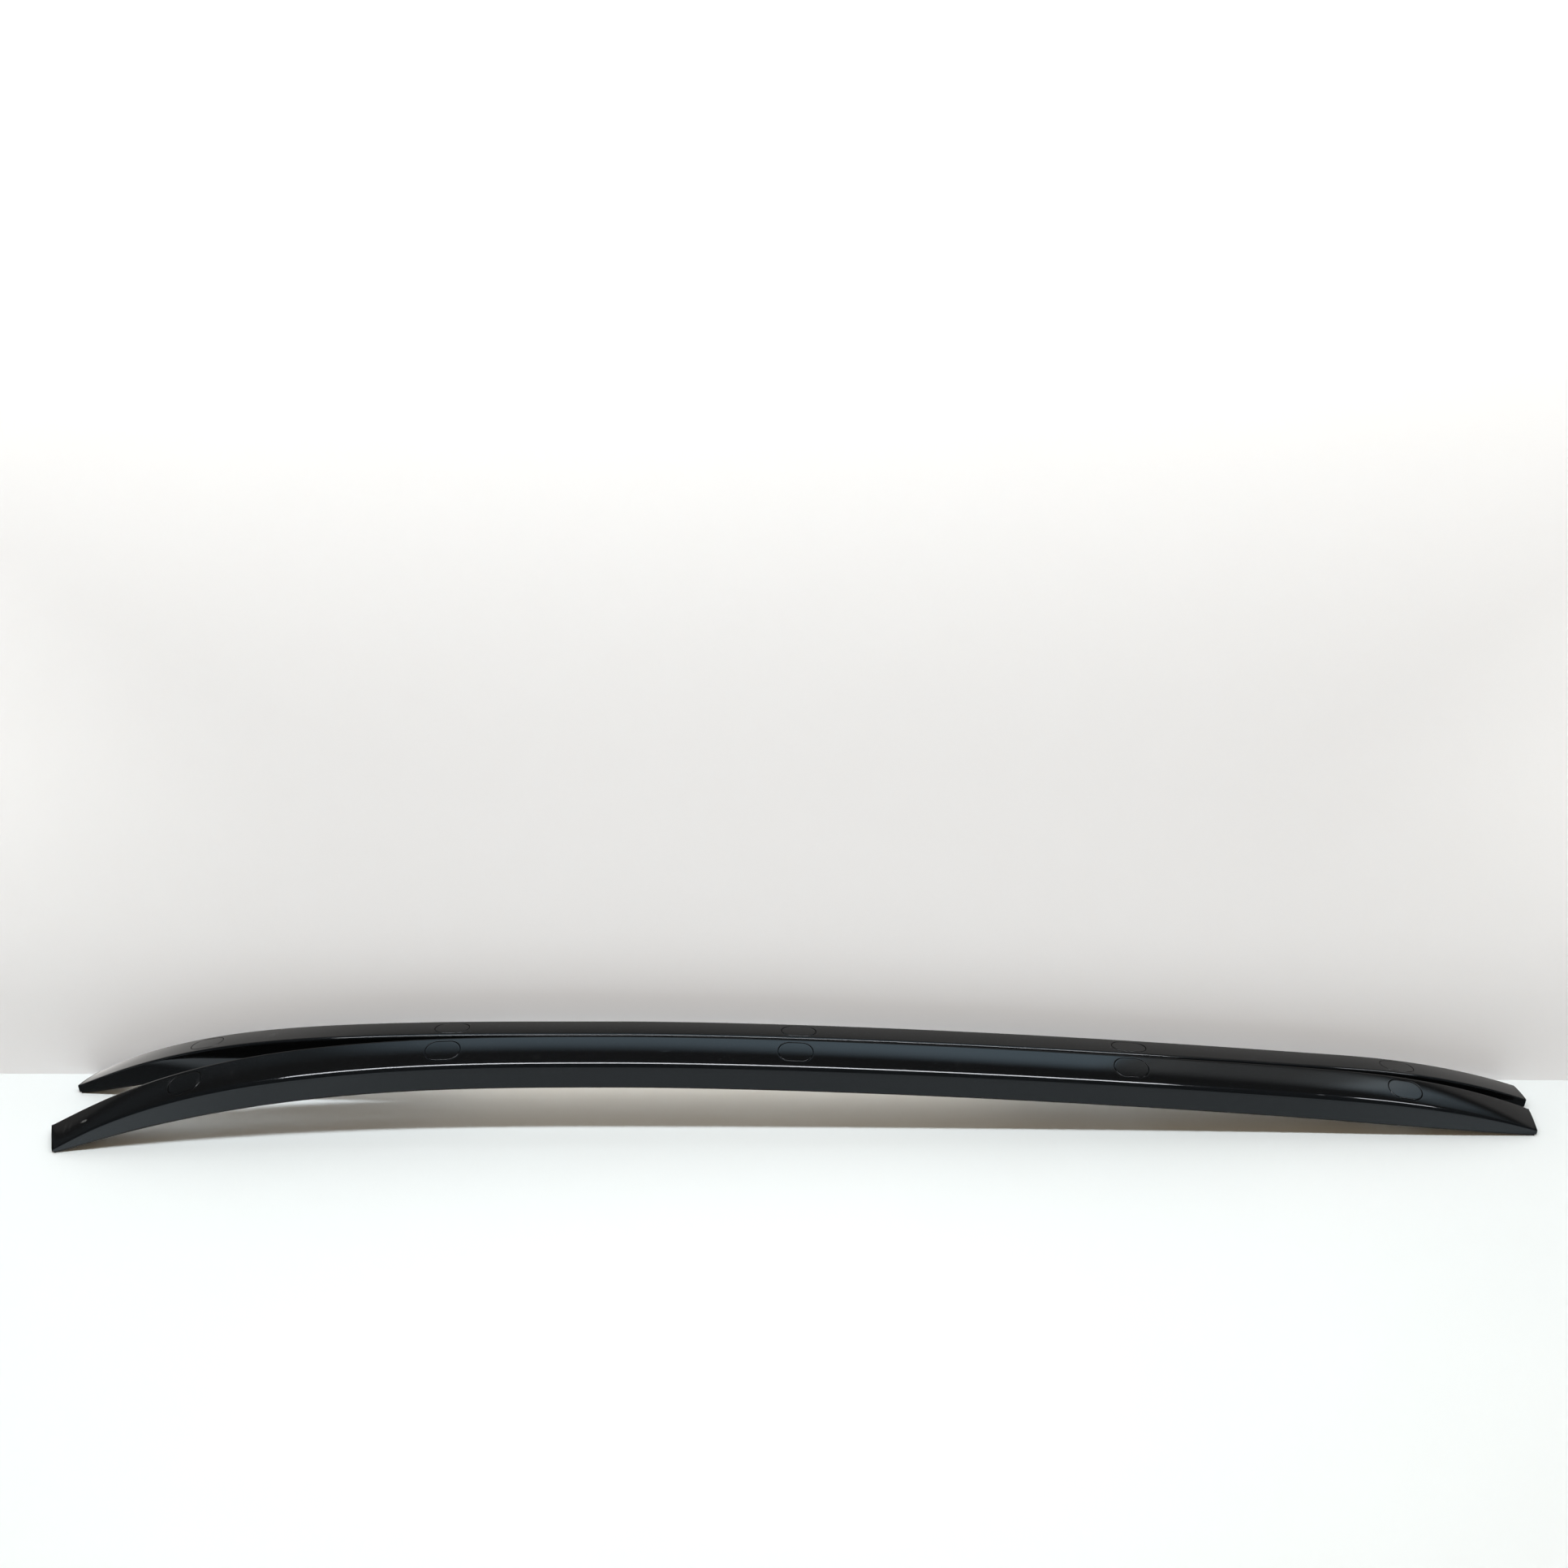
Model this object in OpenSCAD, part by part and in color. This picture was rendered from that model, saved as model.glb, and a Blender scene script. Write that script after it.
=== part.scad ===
// Pair of flush roof side rails for a car, standing back to back on their ends.
// Every rail is a hollow arched moulding with five bolted feet under five flush cover plugs.
// X runs from the rear end to the front end, Z is up, and the pair mirrors about the XZ plane.
// The left rail lies at -Y with its low inner side facing -Y.

/* [Rail] */
// Length between the rear and front ends along X
rail_length = 1840; // [1500:5:2100]
// Height of the section at mid length, from the roof to the outer crease
section_height = 46.5; // [44:0.5:56]
// Height of the section at the rear end
rear_end_height = 13; // [12:0.5:16]
// Height of the section at the front end
front_end_height = 14; // [12:0.5:17]
// Length over which the rear end tapers down
rear_taper_length = 360; // [320:5:420]
// Length over which the front end tapers down
front_taper_length = 255; // [230:5:300]
// Sharpness of the rear taper
rear_taper_power = 3.15; // [2.6:0.05:3.6]
// Sharpness of the front taper
front_taper_power = 2.4; // [2:0.05:2.8]
// Width of the top face at mid length
top_width = 43.5; // [42:0.5:50]
// Width of the top face at the rear end
rear_end_width = 38; // [37:0.5:44]
// Width of the top face at the front end
front_end_width = 34.5; // [34:0.5:44]
// Drop of the top face from the outer to the inner crease
top_drop = 12; // [8:0.5:13]
// Drop of the top face at the rear end
rear_end_drop = 7.5; // [5:0.25:8]
// Drop of the top face at the front end
front_end_drop = 5.5; // [4:0.25:8]
// Rise of the top face above a straight line between its creases
top_crown = 1.1; // [0.4:0.1:1.8]
// Reach of the rounding at the outer crease, between the tapers
outer_crease = 4.5; // [2:0.25:5]
// Reach of the rounding at the inner crease, between the tapers
inner_crease = 6; // [3:0.25:7]
// Reach of the rounding at both creases at the ends
end_crease = 1.3; // [0.8:0.1:1.6]
// Wall of the hollow section
wall = 3; // [2.4:0.1:3.4]
// Solid length at each end of the hollow section
end_wall = 6; // [5:0.5:12]
// Gap between the two rails where they are closest
pair_gap = 0.3; // [0.2:0.1:2]
// How far the left rail stands back from the right one
pair_shift = 4; // [0:0.5:8]

/* [Arch and plan] */
// Height of the arch under the rail
arch_rise = 78; // [65:1:90]
// Distance of the highest point from the rear end
arch_peak = 705; // [640:5:780]
// Fullness of the arch behind its highest point
rear_arch_power = 3.15; // [2.6:0.05:3.4]
// Fullness of the arch ahead of its highest point
front_arch_power = 1.6; // [1.5:0.05:2]
// Flatness of the rear arch where it meets the floor
rear_landing_power = 1.15; // [1.05:0.05:1.3]
// Flatness of the front arch where it meets the floor
front_landing_power = 1; // [1:0.05:1.2]
// Inward bend of the rear end in plan
rear_bend = 36.5; // [20:0.5:50]
// Length of the rear bend
rear_bend_length = 690; // [600:5:780]
// Sharpness of the rear bend
rear_bend_power = 2.45; // [2:0.05:2.6]
// Turn of the rear end cut in plan, in degrees
rear_cut = 12; // [0:1:18]
// Length over which the sections turn into the rear end cut
rear_cut_length = 110; // [90:5:140]
// Inward bend of the front end in plan
front_bend = 8; // [2:0.5:20]
// Length of the front bend
front_bend_length = 345; // [300:5:500]

/* [Cover plugs] */
// Length of a plug
plug_length = 42; // [38:0.5:46]
// Width of a plug
plug_width = 27; // [24:0.5:28]
// Distance of a plug from the outer crease
plug_edge = 6.25; // [5:0.25:7]
// Thickness of the plug at its rim
plug_rim = 2; // [1.6:0.1:2.2]
// Groove around a plug
plug_groove = 0.5; // [0.3:0.05:0.7]
// Width of the ledge that a plug sits on
plug_ledge = 2.5; // [2:0.1:3]
// Depth of the skirt under a plug
skirt_depth = 6; // [4:0.5:8]
// Wall of the plug skirt
skirt_wall = 1.5; // [1.2:0.1:1.8]

/* [Feet and bolts] */
// Position of the rearmost foot and plug, from the rear end
rear_foot = 176; // [150:1:200]
// Position of the second foot and plug, from the rear end
rear_middle_foot = 492; // [440:1:540]
// Position of the middle foot and plug, ahead of mid length
middle_foot = 1; // [-30:1:30]
// Position of the fourth foot and plug, from the front end
front_middle_foot = 508; // [450:1:540]
// Position of the foremost foot and plug, from the front end
front_foot = 167; // [150:1:200]
// Length of a foot
foot_length = 56; // [48:1:64]
// Thickness of the foot plate
foot_plate = 5; // [4:0.5:6]
// Thickness of the upright cheeks of a foot
foot_cheek = 3; // [2.5:0.1:3.5]
// Height of the upright cheeks of a foot
foot_cheek_height = 15; // [12:0.5:16]
// Diameter of the boss round the bolt
boss_diameter = 20; // [19:0.5:21]
// Height of the boss above the foot underside
boss_height = 12; // [9:0.5:14]
// Diameter of the bolt thread
bolt_diameter = 8; // [6:1:8]
// Length of thread that stands out below the rail
bolt_reach = 10; // [8:0.5:11]
// Chamfer at the end of the bolt
bolt_chamfer = 1; // [0.5:0.1:1.5]
// Amount by which the plain shank is thinner than the thread
bolt_relief = 0.4; // [0.3:0.1:0.8]
// Diameter of the bolt flange
bolt_flange_diameter = 17; // [16:0.5:18]
// Thickness of the bolt flange
bolt_flange = 1.6; // [1.2:0.1:2]
// Size of the bolt head across its flats
bolt_head_flats = 13; // [10:1:14]
// Height of the bolt head above its flange
bolt_head_height = 6.5; // [5:0.5:7]
// Clearance round the bolt in its foot
bolt_clearance = 0.3; // [0.2:0.05:0.5]

/* [Seals] */
// Height of the base gasket
gasket_height = 2.2; // [1.8:0.1:3]
// Width of the base gasket
gasket_width = 7; // [6:0.25:7.5]
// Setback of the gasket from the sides of the rail
gasket_inset = 0.6; // [0.3:0.1:1]
// Setback of the gasket from the ends of the rail
gasket_end_inset = 2; // [1:0.25:3]
// Diameter of a sealing washer
washer_diameter = 20; // [18:0.5:21]

/* [Hidden] */
// Clearance between seated pieces
seat = 0.25;
// Clearance at the sides of a foot, more than the bend of the rail along it
foot_gap = 0.5;
// Clearance at the ends of a foot
foot_room = 2;
// Cross ribs in the hollow: thickness and distance apart
rib = 2.2;
rib_pitch = 95;
// Steps of the lofts
stations = 72;
end_crowding = 0.72;
crown_steps = 5;
crease_steps = 4;
plug_steps = 6;
bay_step = 34;
round_faces = 64;
// Parts of cutters that stand past the face they cut
cut_overrun = 1;
hollow_overrun = 4;
seat_overrun = 4;
slab_margin = 2;
slab_depth = 6;

rear_x = -rail_length / 2;
foot_places = [
    rear_foot,
    rear_middle_foot,
    rail_length / 2 + middle_foot,
    rail_length - front_middle_foot,
    rail_length - front_foot
];
rail_lift = gasket_height + seat;
plug_across = plug_edge + plug_width / 2;
// The crowned top falls away from a plug's middle to its rim
crown_fall = top_crown * pow(plug_width / top_width, 2);
plug_depth = plug_rim + crown_fall;
opening_length = plug_length - 2 * plug_ledge;
opening_width = plug_width - 2 * plug_ledge;
skirt_length = opening_length - 2 * seat;
skirt_width = opening_width - 2 * seat;

body_colour = "#1b1d1f";
seal_colour = "#141414";
foot_colour = "#8d9194";
bolt_colour = "#b4b6b4";

sides = ["left", "right"];

// Base line of the rail above the floor, at a distance from the rear end. It lands where the gasket ends
function arch_part(share, fullness, landing) =
    arch_rise * pow(max(0, 1 - pow(share, fullness)), landing);
function arch(d) =
    d < arch_peak
    ? arch_part((arch_peak - d) / (arch_peak - gasket_end_inset), rear_arch_power, rear_landing_power)
    : arch_part((d - arch_peak) / (rail_length - gasket_end_inset - arch_peak), front_arch_power,
        front_landing_power);

// Distance of the outer side from the mirror plane
function plan(d) =
    pair_gap / 2
    + rear_bend * pow(max(0, 1 - d / rear_bend_length), rear_bend_power)
    + front_bend * pow(max(0, 1 - (rail_length - d) / front_bend_length), 2);

function plan_slope(d) = (plan(d + 1) - plan(d - 1)) / 2;

// Value of a size at d, drawn towards its value at the nearer end
function share_of_taper(d) =
    max(0, d < rail_length / 2 ? 1 - d / rear_taper_length : 1 - (rail_length - d) / front_taper_length);
function tapered(d, middle, rear, front, power) =
    middle - (middle - (d < rail_length / 2 ? rear : front)) * pow(share_of_taper(d), power);

function width(d) = tapered(d, top_width, rear_end_width, front_end_width, 2);
function drop(d) = tapered(d, top_drop, rear_end_drop, front_end_drop, 2);
function height(d) =
    tapered(d, section_height, rear_end_height, front_end_height,
        d < rail_length / 2 ? rear_taper_power : front_taper_power);

// Height of the top face above the roof, across the section from the outer crease
function top_line(d, across) =
    let (share = across / width(d))
    height(d) - drop(d) * share + 4 * top_crown * share * (1 - share);

// Reach of a crease's rounding, from its size between the tapers
function crease(d, middle) = tapered(d, middle, end_crease, end_crease, 2);

// Angle of the section in plan: square to the rail, and turned a little at the rear cut
function cut_turn(d) = rear_cut * pow(max(0, 1 - d / rear_cut_length), 2);
function section_turn(d) = atan(plan_slope(d)) - cut_turn(d);

// Point of the left rail: d along it, across from its outer side and up from its base line
function place(d, across, up) =
    let (turn = section_turn(d), reach = across / cos(cut_turn(d)))
    [rear_x + d - reach * sin(turn), -plan(d) - reach * cos(turn), arch(d) + up];

// Points of a smooth corner from a to c, drawn towards b
function corner(a, b, c) = [
    for (i = [0:crease_steps])
        let (t = i / crease_steps)
        a * pow(1 - t, 2) + b * 2 * t * (1 - t) + c * pow(t, 2)
];

// Outer outline of the section, from the foot of the outer side over the top to the inner side
function outer_outline(d) =
    let (
        w = width(d),
        edge = height(d) - drop(d),
        near = crease(d, outer_crease),
        far = crease(d, inner_crease)
    )
    concat(
        [[0, rail_lift]],
        corner([0, height(d) - near], [0, height(d)], [near, top_line(d, near)]),
        [
            for (i = [1:crown_steps - 1])
                let (across = near + (w - near - far) * i / crown_steps)
                [across, top_line(d, across)]
        ],
        corner([w - far, top_line(d, w - far)], [w, edge], [w, edge - far]),
        [[w, rail_lift]]
    );

// Outline of the hollow, open downwards
function hollow_outline(d) =
    let (w = width(d), left = wall, middle = w / 2, right = w - wall)
    concat(
        [[left, -hollow_overrun]],
        [for (p = [left, middle, right]) [p, top_line(d, p) - wall]],
        [[right, -hollow_overrun]]
    );

// Solid through equal rings of points, with flat ends
module loft(rings) {
    size = len(rings[0]);
    last = len(rings) - 1;
    polyhedron(
        points = [for (ring = rings) each ring],
        faces = concat(
            [[for (j = [0:size - 1]) j]],
            [
                for (i = [0:last - 1], j = [0:size - 1])
                    let (k = (j + 1) % size, a = i * size, b = a + size)
                    each [[a + j, b + k, a + k], [a + j, b + j, b + k]]
            ],
            [[for (j = [0:size - 1]) last * size + size - 1 - j]]
        )
    );
}

// Solid ring through equal rings of points, closed on itself
module closed_loft(rings) {
    size = len(rings[0]);
    count = len(rings);
    polyhedron(
        points = [for (ring = rings) each ring],
        faces = [
            for (i = [0:count - 1], j = [0:size - 1])
                let (k = (j + 1) % size, a = i * size, b = (i + 1) % count * size)
                each [[a + j, b + k, a + k], [a + j, b + j, b + k]]
        ]
    );
}

// Ring of the left rail at d, from an outline of its section
function ring(d, outline) = [for (q = outline) place(d, q[0], q[1])];

// Distance from the rear end for a share of the way, with closer steps towards both ends
function crowded(share, from, to) =
    from + (to - from) * (share - end_crowding * sin(360 * share) / (2 * PI));

module rail_body() {
    loft([
        for (i = [0:stations])
            let (d = crowded(i / stations, 0, rail_length))
            ring(d, outer_outline(d))
    ]);
}

// Starts and ends of the hollow bays: one round every foot and equal ones between them
half_foot_bay = foot_length / 2 + foot_room + rib / 2;
foot_bays = [for (d = foot_places) [d - half_foot_bay, d + half_foot_bay]];
bay_limits = concat(
    [end_wall - rib / 2], [for (bay = foot_bays) each bay], [rail_length - end_wall + rib / 2]);
function split(from, to) =
    let (count = max(1, round((to - from) / rib_pitch)), pitch = (to - from) / count)
    [for (i = [0:count - 1]) [from + i * pitch + rib / 2, from + (i + 1) * pitch - rib / 2]];
bays = [
    for (i = [0:len(bay_limits) - 2])
        let (from = bay_limits[i], to = bay_limits[i + 1])
        each (i % 2 == 1 ? [[from + rib / 2, to - rib / 2]] : split(from, to))
];

module bay(from, to) {
    steps = max(2, ceil((to - from) / bay_step));
    loft([
        for (i = [0:steps])
            let (d = from + (to - from) * i / steps)
            ring(d, hollow_outline(d))
    ]);
}

// Flat outline with half round ends
module obround(length, across) {
    square([length - across, across], center = true);
    for (side = [-1, 1])
        translate([side * (length - across) / 2, 0])
            circle(d = across, $fn = round_faces);
}

// Height of the top face above the floor on the line of the plugs
function top_level(d) = arch(d) + top_line(d, plug_across);

// Puts a plug's own axes on the top face, with z square to it
module on_top(d) {
    slope = atan((top_level(d + 1) - top_level(d - 1)) / 2);
    tilt = atan(drop(d) / width(d));
    translate(place(d, plug_across, top_line(d, plug_across)))
        rotate([tilt, -slope, -section_turn(d)])
            children();
}

// Puts a foot's own axes under the bolt, with z square to the roof
module on_base(d) {
    slope = atan((arch(d + 1) - arch(d - 1)) / 2);
    translate(place(d, plug_across, rail_lift))
        rotate([0, -slope, -section_turn(d)])
            children();
}

// Recess and opening for one plug
module plug_seat() {
    translate([0, 0, -plug_depth])
        linear_extrude(plug_depth + seat_overrun)
            obround(plug_length + 2 * plug_groove, plug_width + 2 * plug_groove);
    translate([0, 0, -plug_depth - wall - seat_overrun])
        linear_extrude(wall + 2 * seat_overrun)
            obround(opening_length, opening_width);
}

// Hollow rail, open underneath, with cross ribs and five plug openings
module left_rail() {
    color(body_colour)
        difference() {
            rail_body();
            for (limits = bays)
                bay(limits[0], limits[1]);
            for (d = foot_places)
                on_top(d)
                    plug_seat();
        }
}

// Slab of the top face round one plug
module top_slab(d) {
    from = plug_across - plug_width / 2 - slab_margin;
    reach = plug_width + 2 * slab_margin;
    half = plug_length / 2 + slab_margin;
    loft([
        for (i = [0:plug_steps])
            let (e = d - half + 2 * half * i / plug_steps)
            ring(e, concat(
                [[from, top_line(e, from) - slab_depth]],
                [for (k = [0:plug_steps]) let (p = from + reach * k / plug_steps) [p, top_line(e, p)]],
                [[from + reach, top_line(e, from + reach) - slab_depth]]
            ))
    ]);
}

// Flush cover plug with a skirt that goes through the opening
module left_plug(d) {
    color(body_colour) {
        intersection() {
            top_slab(d);
            on_top(d)
                translate([0, 0, seat - plug_depth])
                    linear_extrude(plug_depth + seat_overrun)
                        obround(plug_length, plug_width);
        }
        on_top(d)
            translate([0, 0, -plug_depth - skirt_depth])
                linear_extrude(skirt_depth + 2 * seat)
                    difference() {
                        obround(skirt_length, skirt_width);
                        obround(skirt_length - 2 * skirt_wall, skirt_width - 2 * skirt_wall);
                    }
    }
}

// Outline of a cheek, with its upper corners cut back
module cheek_outline() {
    half = foot_length / 2;
    polygon([
        [-half, 0], [half, 0], [half, foot_plate], [half - foot_cheek_height, foot_cheek_height],
        [foot_cheek_height - half, foot_cheek_height], [-half, foot_plate]
    ]);
}

// Cast foot: a plate with two upright cheeks and a boss round the bolt
module left_foot(d) {
    narrow_end = d < rail_length / 2 ? d - foot_length / 2 : d + foot_length / 2;
    inner = width(narrow_end) - wall - plug_across - foot_gap;
    outer = plug_across - wall - foot_gap;
    color(foot_colour)
        on_base(d)
            difference() {
                union() {
                    translate([-foot_length / 2, -inner, 0])
                        cube([foot_length, inner + outer, foot_plate]);
                    for (side = [-inner, outer - foot_cheek])
                        translate([0, side + foot_cheek, 0])
                            rotate([90, 0, 0])
                                linear_extrude(foot_cheek)
                                    cheek_outline();
                    cylinder(d = boss_diameter, h = boss_height, $fn = round_faces);
                }
                translate([0, 0, -cut_overrun])
                    cylinder(
                        d = bolt_diameter + 2 * bolt_clearance,
                        h = boss_height + 2 * cut_overrun,
                        $fn = round_faces
                    );
            }
}

// Flanged hexagon bolt that hangs in one foot
module bolt() {
    translate([0, 0, -rail_lift - bolt_reach])
        cylinder(
            d1 = bolt_diameter - 2 * bolt_chamfer,
            d2 = bolt_diameter,
            h = bolt_chamfer,
            $fn = round_faces
        );
    translate([0, 0, bolt_chamfer - rail_lift - bolt_reach])
        cylinder(d = bolt_diameter, h = bolt_reach - bolt_chamfer, $fn = round_faces);
    translate([0, 0, -rail_lift])
        cylinder(d = bolt_diameter - bolt_relief, h = rail_lift + boss_height, $fn = round_faces);
    translate([0, 0, boss_height])
        cylinder(d = bolt_flange_diameter, h = bolt_flange, $fn = round_faces);
    translate([0, 0, boss_height + bolt_flange])
        cylinder(d = bolt_head_flats / cos(30), h = bolt_head_height, $fn = 6);
}

module left_bolts() {
    color(bolt_colour)
        for (d = foot_places)
            on_base(d)
                bolt();
}

// Rubber washer between one foot and the roof
module left_washer(d) {
    color(seal_colour)
        on_base(d)
            translate([0, 0, -rail_lift])
                difference() {
                    cylinder(d = washer_diameter, h = gasket_height, $fn = round_faces);
                    translate([0, 0, -cut_overrun])
                        cylinder(
                            d = bolt_diameter + bolt_clearance,
                            h = gasket_height + 2 * cut_overrun,
                            $fn = round_faces
                        );
                }
}

// Rubber ring along the lower edge of the rail
module left_gasket() {
    outer_from = gasket_end_inset;
    outer_to = rail_length - gasket_end_inset;
    inner_from = outer_from + gasket_width;
    inner_to = outer_to - gasket_width;
    near = gasket_inset;
    function span(share) = [crowded(share, outer_from, outer_to), crowded(share, inner_from, inner_to)];
    function quad(share, out, in) =
        let (d = span(share))
        [
            place(d[0], out, 0), place(d[0], out, gasket_height),
            place(d[1], in, gasket_height), place(d[1], in, 0)
        ];
    function far(share) = width(crowded(share, outer_from, outer_to)) - near;
    color(seal_colour)
        closed_loft(concat(
            [for (i = [0:stations]) quad(i / stations, near, near + gasket_width)],
            [
                for (i = [stations:-1:0])
                    let (out = far(i / stations))
                    quad(i / stations, out, out - gasket_width)
            ]
        ));
}

// Draws a piece of one side: the right one is the mirror image of the left
module on_side(side) {
    right = side == "right";
    translate([(right ? 1 : -1) * pair_shift / 2, 0, 0])
        mirror([0, right ? 1 : 0, 0])
            children();
}

for (side = sides) {
    on_side(side) left_rail();
    on_side(side) left_gasket();
    on_side(side) left_bolts();
    for (i = [1:len(foot_places)]) {
        d = foot_places[i - 1];
        on_side(side) left_plug(d);
        on_side(side) left_foot(d);
        on_side(side) left_washer(d);
    }
}
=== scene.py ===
"""Looks of a pair of gloss black roof side rails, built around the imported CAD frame."""

import math

import bmesh
import bpy
import numpy as np
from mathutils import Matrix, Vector


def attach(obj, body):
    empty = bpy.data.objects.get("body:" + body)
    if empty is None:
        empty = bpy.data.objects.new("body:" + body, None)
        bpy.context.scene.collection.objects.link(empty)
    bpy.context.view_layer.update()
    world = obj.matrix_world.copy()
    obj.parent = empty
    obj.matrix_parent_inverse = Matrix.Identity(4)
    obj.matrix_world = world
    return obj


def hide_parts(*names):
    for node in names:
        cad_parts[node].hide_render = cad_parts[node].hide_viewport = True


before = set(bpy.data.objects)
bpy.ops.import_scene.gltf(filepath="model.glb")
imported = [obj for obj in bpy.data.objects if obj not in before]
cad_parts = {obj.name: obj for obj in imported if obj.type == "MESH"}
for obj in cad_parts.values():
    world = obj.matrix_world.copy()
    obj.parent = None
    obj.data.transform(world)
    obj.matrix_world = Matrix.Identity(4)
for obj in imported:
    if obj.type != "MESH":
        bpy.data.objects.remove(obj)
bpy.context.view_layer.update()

MM = 0.001

# Sizes of the rail in millimetres, as the CAD source has them
LENGTH = 1840
SECTION_HEIGHT, REAR_END_HEIGHT, FRONT_END_HEIGHT = 46.5, 13, 14
REAR_TAPER, FRONT_TAPER = 360, 255
REAR_TAPER_POWER, FRONT_TAPER_POWER = 3.15, 2.4
TOP_WIDTH, REAR_END_WIDTH, FRONT_END_WIDTH = 43.5, 38, 34.5
TOP_DROP, REAR_END_DROP, FRONT_END_DROP = 12, 7.5, 5.5
CROWN, WALL, END_WALL = 1.1, 3, 6
OUTER_CREASE, INNER_CREASE, END_CREASE = 4.5, 6, 1.3
PAIR_GAP, PAIR_SHIFT = 0.3, 4
ARCH_RISE, ARCH_PEAK = 78, 705
REAR_ARCH_POWER, FRONT_ARCH_POWER = 3.15, 1.6
REAR_LANDING, FRONT_LANDING = 1.15, 1
REAR_BEND, REAR_BEND_LENGTH, REAR_BEND_POWER = 36.5, 690, 2.45
REAR_CUT, REAR_CUT_LENGTH = 12, 110
FRONT_BEND, FRONT_BEND_LENGTH = 8, 345
PLUG_LENGTH, PLUG_WIDTH, PLUG_EDGE, PLUG_RIM = 42, 27, 6.25, 2
GROOVE, LEDGE = 0.5, 2.5
FEET = (176, 492, LENGTH / 2 + 1, LENGTH - 508, LENGTH - 167)
FOOT_LENGTH, FOOT_ROOM, RIB, RIB_PITCH = 56, 2, 2.2, 95
GASKET, SEAT, GASKET_END = 2.2, 0.25, 2
LIFT = GASKET + SEAT
BOLT, BOLT_REACH, BOLT_CHAMFER, PITCH, SHANK = 8, 10, 1, 1.25, 7.6
BOSS, FLANGE, FLANGE_HEIGHT, HEAD_FLATS, HEAD_HEIGHT = 12, 17, 1.6, 13, 6.5
PLUG_ACROSS = PLUG_EDGE + PLUG_WIDTH / 2
PLUG_DEPTH = PLUG_RIM + CROWN * (PLUG_WIDTH / TOP_WIDTH) ** 2

# Sections along the rail: pitch at the ends, its growth, the reach of that growth, least pitch
END_PITCH, PITCH_GROWTH, GROWTH_REACH, LEAST_PITCH = 1.5, 6.0, 200, 0.6
CREASE_STEPS, SIDE_STEPS, NEAR_STEPS, FAR_STEPS = 12, 6, 2, 3
SMOOTH_ANGLE = 32

# Window of the skin round each plug, and the seat in it, in millimetres
WINDOW_ALONG = PLUG_LENGTH / 2 + GROOVE + 2.5
WINDOW_ACROSS = PLUG_WIDTH / 2 + GROOVE + 0.8
WINDOW_EDGE, WINDOW_SPARE = 1, 0.2
ALONG_STEPS, ACROSS_STEPS = 22, 16
WINDOW_SHARES = (0.5, 0.85)
BEVEL, SEAT_BEVEL_STEPS, PLUG_BEVEL_STEPS = 0.6, 4, 5
OPENING_DEPTH = 1.1
RIB_SUNK, RIB_CLEAR = 0.6, 0.3

# Slots of a piece's materials, and the strips of a seat and of a plug that are dull, painted darker
# as shade in the gap
GLOSS, DULL = 0, 1
DULL_SEAT, DULL_PLUG = range(3, 9), range(9, 11)

# Plug caps in millimetres: rings of the crown, and the skirt
PLUG_SIDES = 96
PLUG_RINGS = (0.6, 3, 6, 9, 11.5)
PLUG_SINK, PLUG_LEVEL = 0.08, 0.2
SKIRT_REACH, SKIRT_WALL = 6, 1.5
SEATED = (
    # flattening of each plug's crown, and how far it stands up at its front end and inner side
    (0.2, 0.03, 0.02), (0.3, -0.03, 0.04), (0.1, 0.02, 0.0), (0.7, -0.10, -0.12), (0.8, 0.05, 0.08),
)

# Bolts in millimetres. The thread's crest, flank and depth are shares of its pitch.
BOLT_SIDES, THREAD_STEPS = 48, 10
THREAD_CREST, THREAD_FLANK, THREAD_DEPTH = 0.125, 0.625, 0.613
SHANK_START = 0.2
FLANGE_FOOT, FLANGE_EDGE, FLANGE_INSET = 0.25, 0.3, 0.35
# distance below the head's top, and how far the corners reach
HEAD_CORNERS = ((HEAD_HEIGHT, 9), (1.0, 9), (0.75, 7.25), (0.5, 6.95), (0.25, 6.6), (0, 6.1))
HEAD_DISH = ((0, 5.3), (0.35, 4.6))

# Rounded edges of the cast feet
FOOT_EDGE, FOOT_EDGE_STEPS, FOOT_EDGE_ANGLE, FOOT_WELD = 0.5, 2, 50, 0.01

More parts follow.
